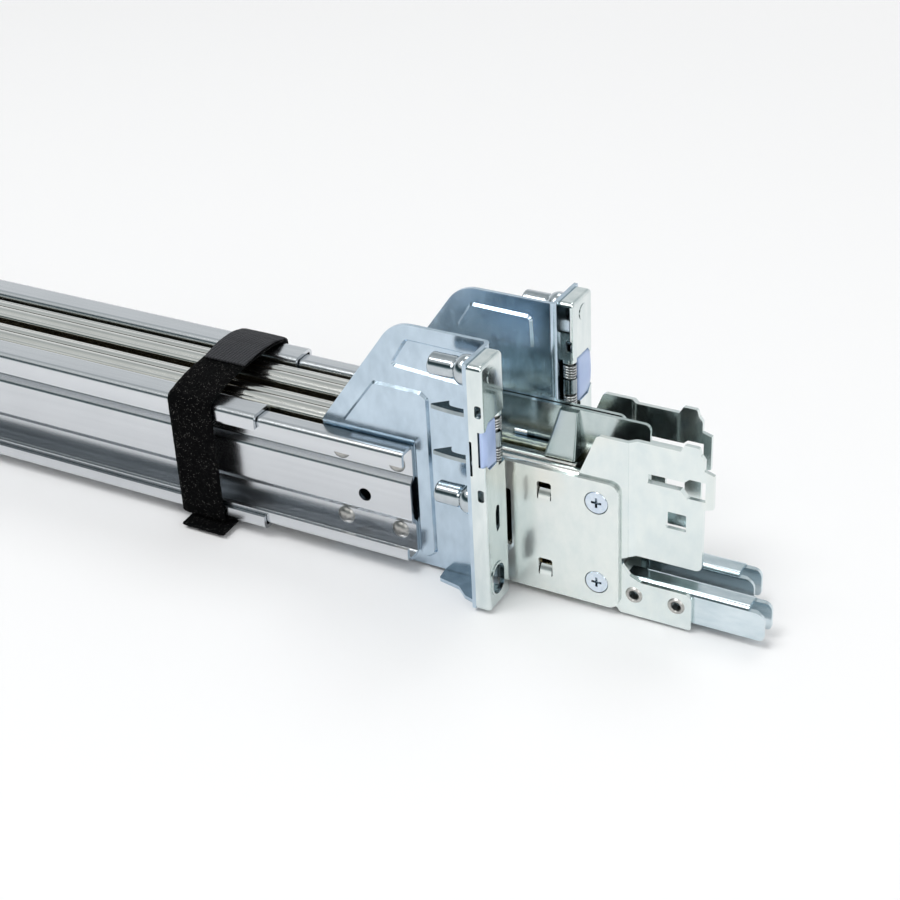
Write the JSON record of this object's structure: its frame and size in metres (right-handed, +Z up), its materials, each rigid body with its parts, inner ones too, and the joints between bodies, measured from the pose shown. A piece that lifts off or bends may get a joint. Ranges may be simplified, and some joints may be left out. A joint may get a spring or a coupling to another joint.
{
  "type": "rack slide rail pair",
  "caption": "Pair of sliding rack rails: telescoping rear end, ball slides, sprung hook latches with blue release pads, cable-arm receivers and a strap.",
  "frame": {"origin": "bottom centre of the pair's bounding box", "axes": "+X along the rails to the cable-arm end, +Z up, right rail at -Y"},
  "size_m": [0.744, 0.0616, 0.0872],
  "materials": {
    "galvanised_steel": "galvanised, rolled lengthwise",
    "slide_steel": "bright zinc with oiled races",
    "cage_steel": "yellowish zinc",
    "fastener_steel": "zinc plated",
    "bracket_zinc": "pale blue zinc",
    "polished_steel": "bright plated",
    "cover_steel": "bright plated",
    "bright_zinc": "bright zinc",
    "spring_steel": "drawn wire",
    "blue_plastic": "moulded",
    "strap_fabric": "woven nylon hook-and-loop"
  },
  "bodies": {
    "rail_pair": {"strap": "strap_fabric", "right_sleeve_channel": "galvanised_steel", "right_slide_outer_member": "slide_steel", "right_fixed_rivets": "fastener_steel", "right_front_bracket": "bracket_zinc", "right_front_pins": "polished_steel", "right_front_latch_cover": "cover_steel", "right_front_hinge_pin": "fastener_steel", "right_front_springs": "spring_steel", "right_cma_base_plate": "bright_zinc", "right_cma_screws": "fastener_steel", "right_cma_receiver": "bright_zinc", "right_cma_guide_channel": "bright_zinc", "right_cma_inner_plate": "bright_zinc", "left_sleeve_channel": "galvanised_steel", "left_slide_outer_member": "slide_steel", "left_fixed_rivets": "fastener_steel", "left_front_bracket": "bracket_zinc", "left_front_pins": "polished_steel", "left_front_latch_cover": "cover_steel", "left_front_hinge_pin": "fastener_steel", "left_front_springs": "spring_steel", "left_cma_base_plate": "bright_zinc", "left_cma_screws": "fastener_steel", "left_cma_receiver": "bright_zinc", "left_cma_guide_channel": "bright_zinc", "left_cma_inner_plate": "bright_zinc"},
    "right_rear_end": {"right_telescoping_channel": "galvanised_steel", "right_rear_bracket": "bracket_zinc", "right_rear_bracket_rivets": "fastener_steel", "right_rear_pins": "polished_steel", "right_rear_latch_cover": "cover_steel", "right_rear_hinge_pin": "fastener_steel", "right_rear_springs": "spring_steel"},
    "right_rear_latch_arm": {"right_rear_latch": "polished_steel", "right_rear_latch_button": "blue_plastic"},
    "right_front_latch_arm": {"right_front_latch": "polished_steel", "right_front_latch_button": "blue_plastic"},
    "right_middle": {"right_slide_middle_member": "slide_steel"},
    "right_inner": {"right_slide_inner_member": "slide_steel"},
    "right_lever": {"right_slide_release_lever": "bracket_zinc"},
    "right_outer_cage": {"right_outer_ball_cage": "cage_steel"},
    "right_inner_cage": {"right_inner_ball_cage": "cage_steel"},
    "left_rear_end": {"left_telescoping_channel": "galvanised_steel", "left_rear_bracket": "bracket_zinc", "left_rear_bracket_rivets": "fastener_steel", "left_rear_pins": "polished_steel", "left_rear_latch_cover": "cover_steel", "left_rear_hinge_pin": "fastener_steel", "left_rear_springs": "spring_steel"},
    "left_rear_latch_arm": {"left_rear_latch": "polished_steel", "left_rear_latch_button": "blue_plastic"},
    "left_front_latch_arm": {"left_front_latch": "polished_steel", "left_front_latch_button": "blue_plastic"},
    "left_middle": {"left_slide_middle_member": "slide_steel"},
    "left_inner": {"left_slide_inner_member": "slide_steel"},
    "left_lever": {"left_slide_release_lever": "bracket_zinc"},
    "left_outer_cage": {"left_outer_ball_cage": "cage_steel"},
    "left_inner_cage": {"left_inner_ball_cage": "cage_steel"}
  },
  "joints": [
    {"name": "right_rear_end_slide", "type": "slide", "parent": "rail_pair", "child": "right_rear_end", "axis": [1, 0, 0], "range_m": [-0.02, 0.12]},
    {"name": "right_middle_slide", "type": "slide", "parent": "rail_pair", "child": "right_middle", "axis": [-1, 0, 0], "range_m": [0, 0.3]},
    {"name": "right_inner_slide", "type": "slide", "parent": "right_middle", "child": "right_inner", "axis": [-1, 0, 0], "range_m": [0, 0.3]},
    {"name": "right_outer_cage_roll", "type": "slide", "parent": "rail_pair", "child": "right_outer_cage", "axis": [-1, 0, 0], "range_m": [0, 0.15]},
    {"name": "right_inner_cage_roll", "type": "slide", "parent": "right_middle", "child": "right_inner_cage", "axis": [-1, 0, 0], "range_m": [0, 0.15]},
    {"name": "right_lever_hinge", "type": "hinge", "parent": "right_inner", "child": "right_lever", "pos_m": [0.23865, -0.0013, 0.0256], "axis": [0, 1, 0], "range_deg": [-8, 8], "stiffness_Nm_per_rad": 0.02},
    {"name": "right_rear_latch_hinge", "type": "hinge", "parent": "right_rear_end", "child": "right_rear_latch_arm", "pos_m": [0.28785, -0.0193, 0.058], "axis": [0, 0, 1], "range_deg": [0, 9], "stiffness_Nm_per_rad": 0.05},
    {"name": "right_front_latch_hinge", "type": "hinge", "parent": "rail_pair", "child": "right_front_latch_arm", "pos_m": [-0.35955, -0.0193, 0.058], "axis": [0, 0, -1], "range_deg": [0, 9], "stiffness_Nm_per_rad": 0.05},
    {"name": "left_rear_end_slide", "type": "slide", "parent": "rail_pair", "child": "left_rear_end", "axis": [1, 0, 0], "range_m": [-0.035, 0.105]},
    {"name": "left_middle_slide", "type": "slide", "parent": "rail_pair", "child": "left_middle", "axis": [-1, 0, 0], "range_m": [0, 0.3]},
    {"name": "left_inner_slide", "type": "slide", "parent": "left_middle", "child": "left_inner", "axis": [-1, 0, 0], "range_m": [0, 0.3]},
    {"name": "left_outer_cage_roll", "type": "slide", "parent": "rail_pair", "child": "left_outer_cage", "axis": [-1, 0, 0], "range_m": [0, 0.15]},
    {"name": "left_inner_cage_roll", "type": "slide", "parent": "left_middle", "child": "left_inner_cage", "axis": [-1, 0, 0], "range_m": [0, 0.15]},
    {"name": "left_lever_hinge", "type": "hinge", "parent": "left_inner", "child": "left_lever", "pos_m": [0.22965, 0.0013, 0.0256], "axis": [0, 1, 0], "range_deg": [-8, 8], "stiffness_Nm_per_rad": 0.02},
    {"name": "left_rear_latch_hinge", "type": "hinge", "parent": "left_rear_end", "child": "left_rear_latch_arm", "pos_m": [0.29425, 0.0193, 0.058], "axis": [0, 0, -1], "range_deg": [0, 9], "stiffness_Nm_per_rad": 0.05},
    {"name": "left_front_latch_hinge", "type": "hinge", "parent": "rail_pair", "child": "left_front_latch_arm", "pos_m": [-0.36855, 0.0193, 0.058], "axis": [0, 0, 1], "range_deg": [0, 9], "stiffness_Nm_per_rad": 0.05}
  ],
  "couplings": [
    {"joint": "right_outer_cage_roll", "follows": "right_middle_slide", "ratio": 0.5},
    {"joint": "right_inner_cage_roll", "follows": "right_inner_slide", "ratio": 0.5},
    {"joint": "left_outer_cage_roll", "follows": "left_middle_slide", "ratio": 0.5},
    {"joint": "left_inner_cage_roll", "follows": "left_inner_slide", "ratio": 0.5}
  ]
}
